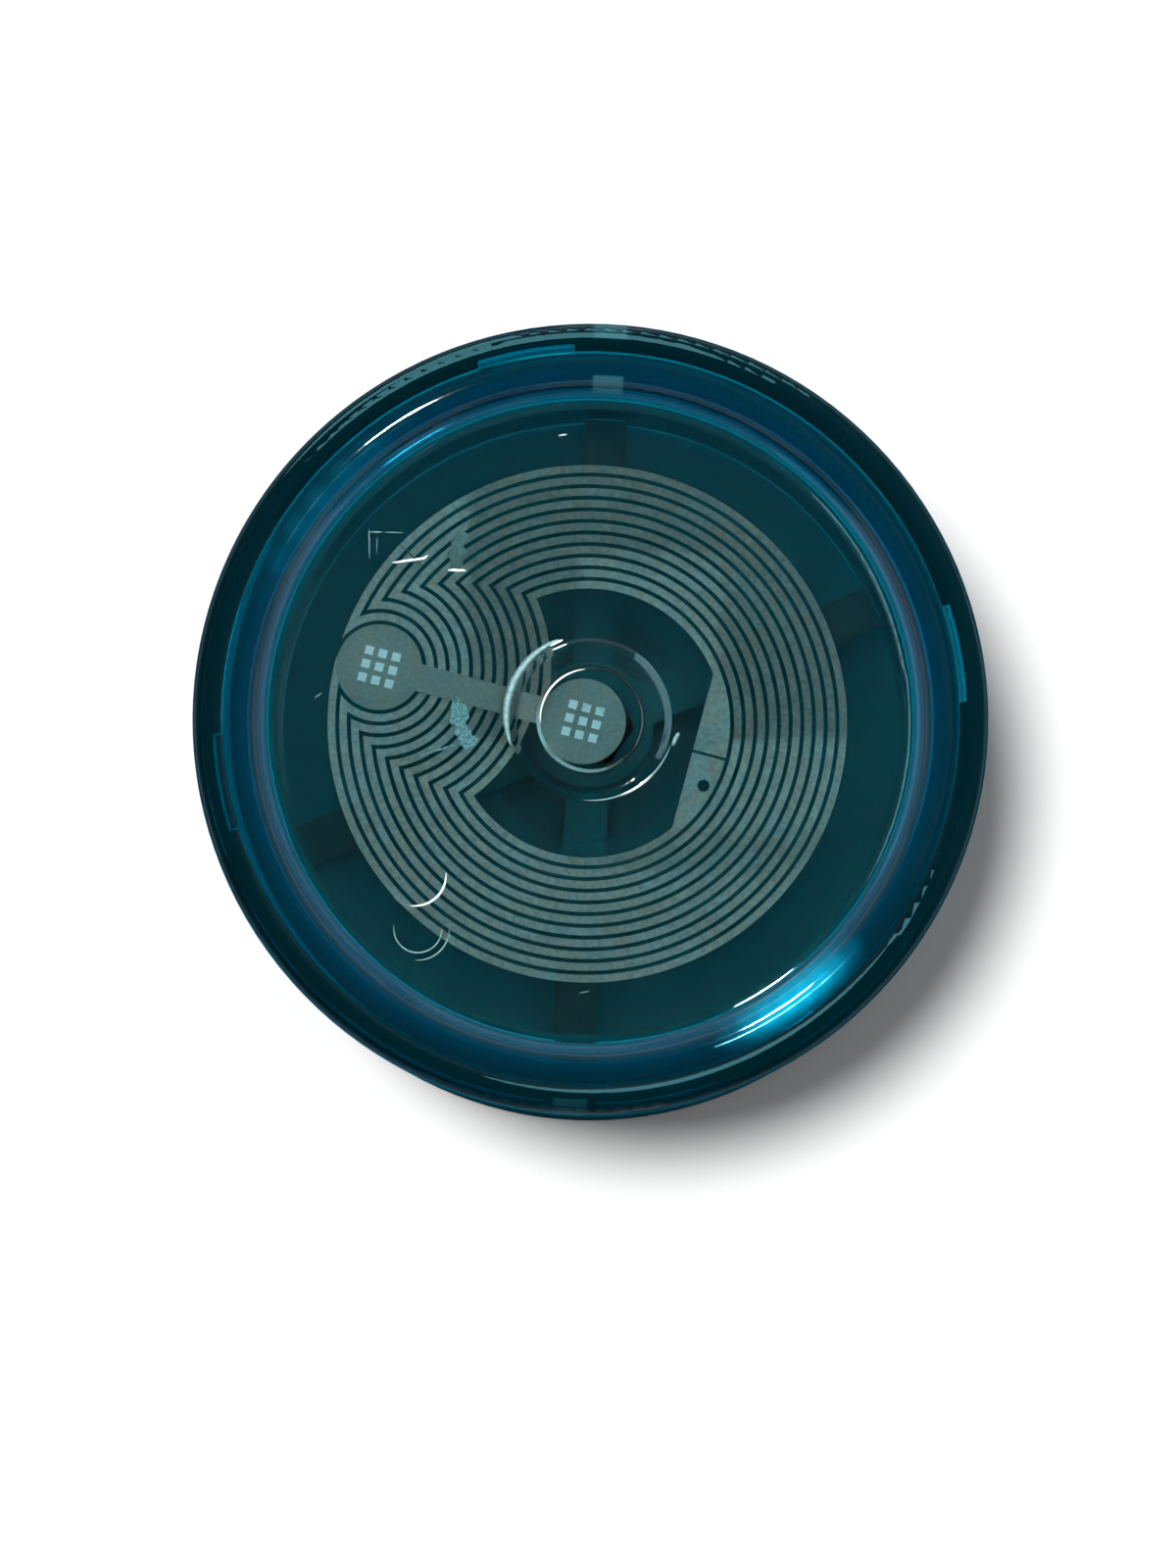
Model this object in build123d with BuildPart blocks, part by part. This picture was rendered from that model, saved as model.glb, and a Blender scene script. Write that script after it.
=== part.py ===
"""A translucent yo-yo with a ball bearing, a threaded axle and a round foil antenna under one clear face.

The yo-yo lies flat on its far face. The origin is the centre of the circle it rests on, +Z is the axle.
Heights called *_h are measured from the middle of the string gap, outwards along the axle, so that the
near half (up) and the far half (down) are the same mouldings built on two facing frames.
"""

from build123d import *
import math
import os

# Overall sizes
diameter = 57.0
width = 31.0
hub_gap = 2.8

# Half shell: gap face, floor, thick rim and hub
gap_flat_margin = 1.5
gap_flare = 1.7
gap_blend_r = 30.0
corner_r = 4.5
floor_t = 2.0
rim_wall = 3.5
cavity_corner_r = 2.5
hub_wall = 1.4
hub_cover = 1.0
locating_ring_inset = 2.4
locating_ring_wall = 0.8
rib_width = 3.1
rib_height = 5.5
rib_root = 1.0
rib_spread = 32.0

# Rim: a rolled bead with a narrow rest land, a step line outside it and a soft shoulder
bead_r = 1.07
bead_inset = 1.29
rest_land = 0.3
rim_lip = 2.1
step_inset = 0.64
step_drop = 0.15
shoulder_r = 0.6

# Face cap: a dished plate inside a raised hump, a flange that seats in the shell and four snap tabs
cap_plate_t = 1.5
cap_dish = 1.48
hump_r = 1.5
hump_inset = 3.3
hump_drop = 0.4
hump_slope = 50.0
dish_foot_r = 0.8
flange_t = 1.54
tab_width = 6.9
tab_reach = 0.6
tab_height = 1.1
tab_spread = 45.0
moat_inner_r = 3.65
moat_outer_r = 5.85
moat_depth = 0.5
moat_inner_slope = 0.2
moat_outer_slope = 0.5
moat_edge_r = 0.12
gate_r = 1.05
gate_height = 0.12
gate_draft = 20.0
pin_mark_depth = 0.12
pin_mark_r = 2.2
pin_mark_place = (16.86, 166.9)
ring_mark_radii = (2.25, 1.7)
ring_mark_place = (19.5, 175.7)

# The direction that the mouldings' symmetry line points in, seen from the near side
moulding_angle = 55.0

# Axle, nuts and spacers: an M3 stud, two captive hexagon nuts, two brass spacers
axle_r = 1.5
axle_end = 0.6
axle_chamfer = 0.25
nut_across = 5.5
nut_t = 2.4
nut_chamfer = 0.25
nut_floor_t = 2.1
spacer_wall = 0.7
spacer_length = 0.9
spacer_chamfer = 0.15

# Ball bearing, 3 x 8 x 4
bearing_r = 4.0
bearing_width = 4.0
race_gap = 1.0
ball_r = 0.79
ball_count = 7
groove_slack = 0.04
cage_slack = 0.12
cage_pocket_slack = 0.05
cage_low = 1.15
cage_high = 0.35
shield_t = 0.25
shield_inset = 0.15
shield_seat = 0.32

# Response pads: flat silicone rings let into the gap faces
pad_hub_wall = 1.2
pad_width = 2.6
pad_t = 1.0
pad_proud = 0.05

# Antenna: foil coil under a clear film, a foil strap over it
film_t = 0.1
foil_t = 0.05
glue_gap = 0.05
inlay_shift = (-0.22, -0.17)
inlay_angle = -15.0
coil_margin = 3.68
track_pitch = 0.843
track_gap = 0.30
turn_count = 11
end_pad_r = 3.1
end_pad_margin = 0.09
strap_width = 2.0
island_depth = 2.43
island_slit = 0.22
island_hole_r = 0.44
island_hole_place = (1.39, -2.24)
crimp_pitch = 1.0
crimp_size = 0.62
crimp_height = 0.04

# Clearances
seat_clearance = 0.05
loose_clearance = 0.1
bearing_side_clearance = 0.2
bearing_end_clearance = 0.25
running_clearance = 0.05
fixed_clearance = 0.03
film_clearance = 0.2
fit_height = 0.02

# Radii, worked out from the values above
rim_r = diameter / 2
step_r = rim_r - step_inset
bead_centre_r = rim_r - bead_inset
seat_r = rim_r - rim_lip
cap_edge_r = seat_r - seat_clearance
cavity_r = rim_r - rim_wall
cap_spigot_r = cavity_r - loose_clearance
hump_centre_r = rim_r - hump_inset
locating_ring_r = cavity_r - locating_ring_inset
spacer_r = axle_r + running_clearance + spacer_wall
inner_race_bore_r = axle_r + fixed_clearance
ball_circle_r = (inner_race_bore_r + bearing_r) / 2
inner_shoulder_r = ball_circle_r - race_gap / 2
outer_shoulder_r = ball_circle_r + race_gap / 2
pad_inner_r = bearing_r + bearing_side_clearance + pad_hub_wall
pad_outer_r = pad_inner_r + pad_width
gap_flat_r = pad_outer_r + gap_flat_margin
nut_corner_r = nut_across / math.sqrt(3)
hub_r = nut_corner_r + hub_wall

# Heights from the middle of the string gap
half_width = width / 2
hub_face_h = hub_gap / 2
gap_rim_h = hub_face_h + gap_flare
bead_centre_h = half_width - bead_r
hump_top_h = half_width - hump_drop
plate_top_h = hump_top_h - cap_dish
plate_low_h = plate_top_h - cap_plate_t
hump_edge_h = hump_top_h - hump_r + math.sqrt(hump_r**2 - (cap_edge_r - hump_centre_r) ** 2)
flange_low_h = hump_edge_h - flange_t
ledge_h = flange_low_h - fit_height
bearing_half = bearing_width / 2
spacer_pocket_h = bearing_half + spacer_length
nut_seat_h = spacer_pocket_h + nut_floor_t
nut_top_h = nut_seat_h + nut_t
hub_top_h = nut_top_h + hub_cover
axle_half = nut_top_h + axle_end

symmetry_line = (math.cos(math.radians(moulding_angle)), math.sin(math.radians(moulding_angle)), 0)
middle = (0, 0, half_width)
near_frame = Plane(origin=middle, x_dir=symmetry_line, z_dir=(0, 0, 1))
far_frame = Plane(origin=middle, x_dir=symmetry_line, z_dir=(0, 0, -1))
axle_line = Axis(middle, (0, 0, 1))


def gap_height(r):
    """Height of the gap face at a radius: flat by the hub, then opening towards the rim."""
    return hub_face_h + gap_flare * max(r - gap_flat_r, 0) / (rim_r - gap_flat_r)


def section(frame):
    """The plane that a half's outlines are drawn on: across is the radius, up is the height."""
    return Plane(origin=frame.origin, x_dir=frame.x_dir, z_dir=-frame.y_dir)


def bead_height(r):
    """Height of the rim bead's surface at a radius outside its rest land."""
    from_land = abs(r - bead_centre_r) - rest_land / 2
    return bead_centre_h + math.sqrt(bead_r**2 - from_land**2)


def half_cavity(frame):
    """The hollow of one half: everything above the floor except the hub, four ribs and the locating ring."""
    with BuildPart() as cavity:
        with BuildSketch(section(frame)):
            with BuildLine():
                floor_start = (0, hub_face_h + floor_t)
                floor_bend = (gap_flat_r, hub_face_h + floor_t)
                floor_end = (cavity_r, gap_height(cavity_r) + floor_t)
                wall_top = (cavity_r, half_width)
                FilletPolyline(floor_start, floor_bend, floor_end, wall_top, radius=cavity_corner_r)
                Polyline(wall_top, (0, half_width), floor_start)
            make_face()
        revolve(axis=axle_line)
        with BuildSketch(frame.offset(hub_face_h)):
            Circle(hub_r)
        extrude(amount=hub_top_h - hub_face_h, mode=Mode.SUBTRACT)
        with BuildSketch(frame.offset(hub_face_h)):
            for angle in (rib_spread, -rib_spread, 180 + rib_spread, 180 - rib_spread):
                with PolarLocations((cavity_r + rib_root) / 2, 1, start_angle=angle):
                    Rectangle(cavity_r + rib_root, rib_width)
        extrude(amount=rib_height, mode=Mode.SUBTRACT)
        with BuildSketch(frame.offset(hub_face_h)):
            Circle(locating_ring_r + locating_ring_wall)
            Circle(locating_ring_r, mode=Mode.SUBTRACT)
        extrude(amount=plate_low_h - loose_clearance - hub_face_h, mode=Mode.SUBTRACT)
    return cavity.part


def half_shell(frame):
    """One moulded half: gap face, rounded side, rolled rim, cap seat, cavity, hub and the hub's pockets."""
    cavity = half_cavity(frame)
    with BuildPart() as shell:
        with BuildSketch(section(frame)):
            with BuildLine():
                shoulder_top = (step_r, bead_height(step_r) - step_drop)
                side_top = (rim_r, bead_height(step_r) - step_drop - shoulder_r)
                FilletPolyline(
                    (0, hub_face_h),
                    (gap_flat_r, hub_face_h),
                    (rim_r, gap_rim_h),
                    side_top,
                    radius=[gap_blend_r, corner_r],
                )
                shoulder_end = (rim_r - shoulder_r, shoulder_top[1])
                TangentArc(side_top, shoulder_end, tangent=(0, 1))
                Line(shoulder_end, shoulder_top)
                land_out = (bead_centre_r + rest_land / 2, half_width)
                land_in = (bead_centre_r - rest_land / 2, half_width)
                bead_out = (step_r, bead_height(step_r))
                bead_in = (seat_r, bead_height(seat_r))
                Line(shoulder_top, bead_out)
                out_mid_r = (step_r + land_out[0]) / 2
                ThreePointArc(bead_out, (out_mid_r, bead_height(out_mid_r)), land_out)
                Line(land_out, land_in)
                in_mid_r = (seat_r + land_in[0]) / 2
                ThreePointArc(land_in, (in_mid_r, bead_height(in_mid_r)), bead_in)
                Polyline(bead_in, (seat_r, ledge_h), (0, ledge_h), (0, hub_face_h))
            make_face()
        revolve(axis=axle_line)
        add(cavity, mode=Mode.SUBTRACT)
        with BuildSketch(frame.offset(ledge_h)):
            tab_sockets(seat_r + tab_reach + loose_clearance, tab_width + 2 * loose_clearance)
        extrude(amount=tab_height + 2 * loose_clearance, mode=Mode.SUBTRACT)
        with BuildSketch(frame.offset(hub_face_h)):
            Circle(bearing_r + bearing_side_clearance)
        extrude(amount=bearing_half + bearing_end_clearance - hub_face_h, mode=Mode.SUBTRACT)
        with BuildSketch(frame.offset(hub_face_h)):
            Circle(spacer_r + loose_clearance)
        extrude(amount=spacer_pocket_h - hub_face_h, mode=Mode.SUBTRACT)
        with BuildSketch(frame.offset(hub_face_h)):
            Circle(axle_r + loose_clearance)
        extrude(amount=nut_seat_h - hub_face_h, mode=Mode.SUBTRACT)
        with BuildSketch(frame.offset(nut_seat_h)):
            RegularPolygon(nut_across / 2 + seat_clearance, 6, major_radius=False)
        extrude(amount=hub_top_h - nut_seat_h, mode=Mode.SUBTRACT)
        with BuildSketch(frame.offset(hub_face_h)):
            Circle(pad_outer_r + seat_clearance)
            Circle(pad_inner_r - seat_clearance, mode=Mode.SUBTRACT)
        extrude(amount=pad_t - pad_proud + fit_height, mode=Mode.SUBTRACT)
    return shell


def tab_sockets(reach_r, across):
    """Four blocks out to a radius, on the diagonals, for the cap's snap tabs or the pockets they snap into."""
    for angle in (tab_spread, -tab_spread, 180 + tab_spread, 180 - tab_spread):
        with PolarLocations(cap_spigot_r, 1, start_angle=angle):
            Rectangle(2 * (reach_r - cap_spigot_r), across)
    Circle(reach_r, mode=Mode.INTERSECT)
    Circle(cap_spigot_r, mode=Mode.SUBTRACT)


def face_cap(frame):
    """The clear face: a dished plate, a raised hump, a flange with four snap tabs and moulding marks."""
    slope = math.radians(hump_slope)
    hump_centre_h = hump_top_h - hump_r
    slope_top = (hump_centre_r - hump_r * math.sin(slope), hump_centre_h + hump_r * math.cos(slope))
    foot_r = slope_top[0] - (slope_top[1] - plate_top_h) / math.tan(slope)
    with BuildPart() as cap:
        with BuildSketch(section(frame)):
            with BuildLine():
                FilletPolyline((0, plate_top_h), (foot_r, plate_top_h), slope_top, radius=dish_foot_r)
                ThreePointArc(slope_top, (hump_centre_r, hump_top_h), (cap_edge_r, hump_edge_h))
                Polyline(
                    (cap_edge_r, hump_edge_h),
                    (cap_edge_r, flange_low_h),
                    (cap_spigot_r, flange_low_h),
                    (cap_spigot_r, plate_low_h),
                    (0, plate_low_h),
                    (0, plate_top_h),
                )
            make_face()
        revolve(axis=axle_line)
        with BuildSketch(frame.offset(flange_low_h)):
            tab_sockets(seat_r + tab_reach, tab_width)
        extrude(amount=tab_height)
        with BuildSketch(section(frame)):
            with BuildLine():
                Polyline(
                    (moat_inner_r, plate_top_h),
                    (moat_inner_r + moat_inner_slope, plate_top_h - moat_depth),
                    (moat_outer_r - moat_outer_slope, plate_top_h - moat_depth),
                    (moat_outer_r, plate_top_h),
                    close=True,
                )
            make_face()
        revolve(axis=axle_line, mode=Mode.SUBTRACT)
        fillet(cap.edges(Select.LAST).filter_by(GeomType.CIRCLE), moat_edge_r)
        with BuildSketch(frame.offset(plate_top_h)):
            Circle(gate_r)
        extrude(amount=gate_height, taper=gate_draft)
        with BuildSketch(frame.offset(plate_top_h)):
            with PolarLocations(pin_mark_place[0], 1, start_angle=pin_mark_place[1]):
                Circle(pin_mark_r)
            with PolarLocations(ring_mark_place[0], 1, start_angle=ring_mark_place[1]):
                Circle(ring_mark_radii[0])
                Circle(ring_mark_radii[1], mode=Mode.SUBTRACT)
        extrude(amount=-pin_mark_depth, mode=Mode.SUBTRACT)
    return cap


def hexagon_nut(frame, bore_r):
    """An M3 nut in its pocket, chamfered at both ends. The thread is a plain bore at the stud's size."""
    with BuildPart() as nut:
        with BuildSketch(frame.offset(nut_seat_h)):
            RegularPolygon(nut_across / 2, 6, major_radius=False)
        extrude(amount=nut_t)
        with BuildSketch(frame.offset(nut_seat_h)):
            Circle(nut_across / 2 + nut_chamfer)
        extrude(amount=nut_t, mode=Mode.INTERSECT)
        with BuildSketch(frame.offset(nut_seat_h)):
            Circle(bore_r)
        extrude(amount=nut_t, mode=Mode.SUBTRACT)
        bore_edges = nut.edges().filter_by(GeomType.CIRCLE).group_by(SortBy.RADIUS)[0]
        chamfer(bore_edges, nut_chamfer)
    return nut


def brass_spacer(frame):
    """A short sleeve that carries the clamping force from the hub to the bearing's inner race."""
    with BuildPart() as spacer:
        with BuildSketch(frame.offset(bearing_half)):
            Circle(spacer_r)
            Circle(axle_r + running_clearance, mode=Mode.SUBTRACT)
        extrude(amount=spacer_length)
        outer_edges = spacer.edges().filter_by(GeomType.CIRCLE).group_by(SortBy.RADIUS)[-1]
        chamfer(outer_edges, spacer_chamfer)
    return spacer


def response_pad(frame):
    """A flat silicone ring that grips the string when the yo-yo is called back."""
    with BuildPart() as pad:
        with BuildSketch(frame.offset(hub_face_h - pad_proud)):
            Circle(pad_outer_r)
            Circle(pad_inner_r, mode=Mode.SUBTRACT)
        extrude(amount=pad_t)
    return pad


def bearing_shield(frame):
    """A thin steel washer pressed into the outer race. It turns with that race and clears the inner one."""
    with BuildPart() as shield:
        with BuildSketch(frame.offset(bearing_half - shield_inset - shield_t)):
            Circle(outer_shoulder_r + shield_seat - fit_height)
            Circle(inner_shoulder_r + cage_slack, mode=Mode.SUBTRACT)
        extrude(amount=shield_t)
    return shield


# Shells, caps, nuts, spacers and pads, one set for each half
halves = {"near": near_frame, "far": far_frame}
pieces = {}
for side, frame in halves.items():
    pieces[side + "_half_shell"] = half_shell(frame)
    pieces[side + "_face_cap"] = face_cap(frame)
    pieces[side + "_spacer"] = brass_spacer(frame)
    pieces[side + "_response_pad"] = response_pad(frame)
    pieces[side + "_bearing_shield"] = bearing_shield(frame)
pieces["near_axle_nut"] = hexagon_nut(near_frame, axle_r + running_clearance)
pieces["far_axle_nut"] = hexagon_nut(far_frame, axle_r + fixed_clearance)

# The stud, with a lead-in at both ends
with BuildPart() as axle_stud:
    with BuildSketch(near_frame.offset(-axle_half)):
        Circle(axle_r)
    extrude(amount=2 * axle_half)
    chamfer(axle_stud.edges().filter_by(GeomType.CIRCLE), axle_chamfer)
pieces["axle_stud"] = axle_stud

# The ball groove's section is a little larger than the ball
groove_r = ball_r + groove_slack

with BuildPart() as bearing_inner_race:
    with BuildSketch(near_frame.offset(-bearing_half)):
        Circle(inner_shoulder_r)
        Circle(inner_race_bore_r, mode=Mode.SUBTRACT)
    extrude(amount=bearing_width)
    with BuildSketch(section(near_frame)):
        with Locations((ball_circle_r, 0)):
            Circle(groove_r)
    revolve(axis=axle_line, mode=Mode.SUBTRACT)
pieces["bearing_inner_race"] = bearing_inner_race

with BuildPart() as bearing_outer_race:
    with BuildSketch(near_frame.offset(-bearing_half)):
        Circle(bearing_r)
        Circle(outer_shoulder_r, mode=Mode.SUBTRACT)
    extrude(amount=bearing_width)
    with BuildSketch(section(near_frame)):
        with Locations((ball_circle_r, 0)):
            Circle(groove_r)
    revolve(axis=axle_line, mode=Mode.SUBTRACT)
    for frame in halves.values():
        with BuildSketch(frame.offset(bearing_half - shield_inset - shield_t - fit_height)):
            Circle(outer_shoulder_r + shield_seat)
        extrude(amount=shield_inset + shield_t + fit_height, mode=Mode.SUBTRACT)
pieces["bearing_outer_race"] = bearing_outer_race

with BuildPart() as bearing_balls:
    with Locations(near_frame):
        with PolarLocations(ball_circle_r, ball_count):
            Sphere(ball_r)
pieces["bearing_balls"] = bearing_balls

# A crown cage: a ring with one open pocket for each ball
with BuildPart() as bearing_cage:
    with BuildSketch(near_frame.offset(-cage_low)):
        Circle(outer_shoulder_r - cage_slack)
        Circle(inner_shoulder_r + cage_slack, mode=Mode.SUBTRACT)
    extrude(amount=cage_low + cage_high)
    with Locations(near_frame):
        with PolarLocations(ball_circle_r, ball_count):
            Sphere(ball_r + cage_pocket_slack, mode=Mode.SUBTRACT)
pieces["bearing_cage"] = bearing_cage

# The antenna, glued under the near cap. Its own frame has the coil's centre as origin and the strap along -X.
strap_low_h = plate_low_h - glue_gap - foil_t
film_low_h = strap_low_h - film_t
coil_low_h = film_low_h - foil_t
inlay_line = (math.cos(math.radians(inlay_angle)), math.sin(math.radians(inlay_angle)), 0)


def inlay_frame(height):
    """The antenna's frame at a height above the middle of the yo-yo."""
    return Plane(origin=(*inlay_shift, half_width + height), x_dir=inlay_line, z_dir=(0, 0, 1))


film_r = locating_ring_r - film_clearance
coil_r = film_r - coil_margin
track_width = track_pitch - track_gap
first_turn_r = coil_r - track_width / 2
last_turn_r = first_turn_r - (turn_count - 1) * track_pitch
first_notch_r = end_pad_r + track_gap + track_width / 2
last_notch_r = first_notch_r + (turn_count - 1) * track_pitch
end_pad_distance = coil_r - end_pad_r - end_pad_margin
end_pad = (-end_pad_distance, 0)
centre_pad = (-end_pad_distance + last_notch_r + end_pad_r, 0)
island_distance = last_turn_r - island_depth + track_width / 2


def crossing(from_centre, from_pad, side):
    """The point at two given distances, from the coil's centre and from the end pad. side is 1 or -1."""
    x = -(from_centre**2 - from_pad**2 + end_pad_distance**2) / (2 * end_pad_distance)
    return (x, side * math.sqrt(from_centre**2 - x**2))


def coil_edge(sideways):
    """One edge of the track, from the end pad inwards. sideways is +-half a track from its centre line.

    Each turn is an arc about the coil's centre. It meets, in a sharp corner, an arc about the end pad that
    leads round the pad and on to the next turn, one pitch further in. The last one ends at the centre pad.
    Returns the edge's two ends.
    """
    first = (-first_turn_r - sideways, 0)
    start = first
    for turn in range(turn_count):
        turn_r = first_turn_r - turn * track_pitch + sideways
        notch_r = first_notch_r + turn * track_pitch - sideways
        notch_middle = (notch_r - end_pad_distance, 0)
        corner = crossing(turn_r, notch_r, 1)
        ThreePointArc(start, (turn_r, 0), corner)
        if turn < turn_count - 1:
            start = crossing(turn_r - track_pitch, notch_r, -1)
            ThreePointArc(corner, notch_middle, start)
    half_turn = math.atan2(corner[1], corner[0] + end_pad_distance) / 2
    halfway = (notch_r * math.cos(half_turn) - end_pad_distance, notch_r * math.sin(half_turn))
    ThreePointArc(corner, halfway, notch_middle)
    return first, notch_middle


with BuildPart() as antenna_coil:
    with BuildSketch(inlay_frame(coil_low_h)):
        with BuildLine():
            outer_first, outer_last = coil_edge(track_width / 2)
            inner_first, inner_last = coil_edge(-track_width / 2)
            Line(outer_first, inner_first)
            Line(outer_last, inner_last)
        make_face()
        with BuildLine():
            half_chord = math.sqrt(last_turn_r**2 - island_distance**2)
            chord_top = (island_distance, half_chord)
            chord_bottom = (island_distance, -half_chord)
            ThreePointArc(chord_bottom, (last_turn_r, 0), chord_top)
            Line(chord_top, chord_bottom)
        make_face()
        with Locations(end_pad, centre_pad):
            Circle(end_pad_r)
        with Locations(((island_distance + last_turn_r) / 2, 0)):
            Rectangle(last_turn_r - island_distance + 2 * track_width, island_slit, mode=Mode.SUBTRACT)
        with Locations((island_distance + island_hole_place[0], island_hole_place[1])):
            Circle(island_hole_r, mode=Mode.SUBTRACT)
    extrude(amount=foil_t)
pieces["antenna_coil"] = antenna_coil

with BuildPart() as inlay_film:
    with BuildSketch(near_frame.offset(film_low_h)):
        Circle(film_r)
    extrude(amount=film_t)
pieces["inlay_film"] = inlay_film

with BuildPart() as bridge_strap:
    with BuildSketch(inlay_frame(strap_low_h)):
        with Locations(end_pad, centre_pad):
            Circle(end_pad_r)
        with Locations(((end_pad[0] + centre_pad[0]) / 2, 0)):
            Rectangle(centre_pad[0] - end_pad[0], strap_width)
    extrude(amount=foil_t)
    with BuildSketch(inlay_frame(strap_low_h + foil_t)):
        with Locations(end_pad, centre_pad):
            with GridLocations(crimp_pitch, crimp_pitch, 3, 3):
                Rectangle(crimp_size, crimp_size)
    extrude(amount=crimp_height)
pieces["bridge_strap"] = bridge_strap

os.makedirs("parts", exist_ok=True)
for name, piece in pieces.items():
    piece.part.label = name
    export_step(piece.part, "parts/" + name + ".step")
    print(name, round(piece.part.volume, 2))
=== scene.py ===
# %% [markdown]
# # A translucent yo-yo with a foil antenna behind its face
#
# This lesson dresses a finished CAD model of a yo-yo. The model brings every piece at its real size and
# place, in metres, with the axle along Z and the far rim on the floor. What is left for Blender is how the
# plastic, foil, film and metals look, with some painted light, shade and highlights, the small marks that
# use and assembly leave, and the light.
#
# The frame is loaded first and its box is kept, because nothing made here may grow out of it.

import bpy
import bmesh
import math
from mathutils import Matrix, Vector, noise


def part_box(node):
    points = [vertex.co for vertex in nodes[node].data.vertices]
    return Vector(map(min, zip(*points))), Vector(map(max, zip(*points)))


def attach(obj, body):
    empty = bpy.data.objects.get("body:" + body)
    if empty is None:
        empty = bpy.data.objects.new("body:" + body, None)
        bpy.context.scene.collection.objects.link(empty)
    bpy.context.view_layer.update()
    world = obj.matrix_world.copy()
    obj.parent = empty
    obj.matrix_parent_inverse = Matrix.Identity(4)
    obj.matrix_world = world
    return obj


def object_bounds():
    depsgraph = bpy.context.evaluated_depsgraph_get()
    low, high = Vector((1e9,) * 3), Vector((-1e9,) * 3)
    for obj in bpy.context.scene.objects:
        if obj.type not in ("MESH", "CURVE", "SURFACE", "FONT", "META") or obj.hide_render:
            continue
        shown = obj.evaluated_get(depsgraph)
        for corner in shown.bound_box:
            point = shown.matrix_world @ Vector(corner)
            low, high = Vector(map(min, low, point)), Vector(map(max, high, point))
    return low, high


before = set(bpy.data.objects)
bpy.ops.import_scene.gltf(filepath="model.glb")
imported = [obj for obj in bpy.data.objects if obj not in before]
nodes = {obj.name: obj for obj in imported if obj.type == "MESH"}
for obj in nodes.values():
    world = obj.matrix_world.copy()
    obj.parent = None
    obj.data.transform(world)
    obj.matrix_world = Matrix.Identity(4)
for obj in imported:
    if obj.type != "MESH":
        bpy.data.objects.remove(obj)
cad_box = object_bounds()
mm = 0.001
middle = (cad_box[0][2] + cad_box[1][2]) / 2
print("pieces", len(nodes), "middle plane at", round(middle / mm, 2), "mm")

# %% [markdown]
# ## Three helpers for materials
#
# Colours are picked as sRGB hex values, the way a paint chart or a colour picker gives them, and the shader
# wants linear light, so one function converts. Another adds a node of any kind, sets its sockets and links
# what comes in, so that a material below reads as a list of its steps. A third puts a material on CAD
# pieces. Nodes could be placed by hand in the editor, but a script keeps the real sizes behind each number
# in sight.


# %% Colour and node helpers
def linear(hex_colour):
    """An sRGB hex colour as linear RGBA."""
    channels = [int(hex_colour[i : i + 2], 16) / 255 for i in (1, 3, 5)]
    return (*[c / 12.92 if c <= 0.04045 else ((c + 0.055) / 1.055) ** 2.4 for c in channels], 1.0)


def add(material, kind, settings=None, **sockets):
    """Adds a node. A socket gets a value, an output, or a node, which stands for its first output.

    Sockets go by their label, or by _ and their number where two have the same label."""
    made = material.node_tree.nodes.new(kind)
    for name, value in (settings or {}).items():
        setattr(made, name, value)
    for name, value in sockets.items():
        if name.startswith("_"):
            socket = made.inputs[int(name[1:])]
        else:
            label = name.replace("_", " ")
            socket = next(s for s in made.inputs if s.enabled and s.name == label)
        if isinstance(value, bpy.types.Node):
            value = next(output for output in value.outputs if output.enabled)
        if isinstance(value, bpy.types.NodeSocket):
            material.node_tree.links.new(value, socket)
        else:
            socket.default_value = value
    return made


def dress(material, *names):
    """Gives CAD nodes a material."""
    for name in names:
        piece = nodes[name]
        piece.data.materials.clear()
        piece.data.materials.append(material)
    print(material.name, "on", ", ".join(names))


# %% [markdown]
# ## What every material starts with
#
# Each material starts empty, with the place of the shaded point in the object's own metres, so that a
# pattern's scale can be a real size. Patterns come from a noise, and its scale is the number of patches in
# a metre. The same noise can tint between two colours, through a Mix of colours, and raise a bump of a
# stated height.


# %% Empty material and pattern size
of_colours = {"data_type": "RGBA"}


def new_material(name):
    """An empty node material, and the place of the shaded point."""
    material = bpy.data.materials.new(name)
    material.use_nodes = True
    material.node_tree.nodes.clear()
    place = add(material, "ShaderNodeTexCoord").outputs["Object"]
    return material, place


def across(size_mm):
    """The noise scale whose patches are about size_mm across."""
    return 1 / (size_mm * mm)


print("patches 1 mm across need a scale of", across(1.0))

# %% [markdown]
# ## The camera
#
# The yo-yo is looked at almost straight down its axle, from about forearm's length, a few degrees towards
# the near edge. A long lens at that distance keeps the rim's circle nearly true. The lens is worked out
# from the height of floor that it should take in, which is easier to judge than a focal length.

# %% Camera
view_distance = 0.35
view_tilt = math.radians(4.5)
view_height = 111.9 * mm
aim = Vector((-0.17 * mm, -4.84 * mm, cad_box[1][2]))
towards_camera = Vector((0, -math.sin(view_tilt), math.cos(view_tilt)))
camera = bpy.data.cameras.new("camera")
camera.sensor_fit = "VERTICAL"
camera.sensor_height = 24.0
camera.lens = camera.sensor_height * view_distance / view_height
camera.clip_start = 0.01
camera_object = bpy.data.objects.new("camera", camera)
camera_object.location = aim + view_distance * towards_camera
camera_object.rotation_euler = (view_tilt, 0, 0)
bpy.context.scene.collection.objects.link(camera_object)
bpy.context.scene.camera = camera_object
print("lens", round(camera.lens, 1), "mm")

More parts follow.
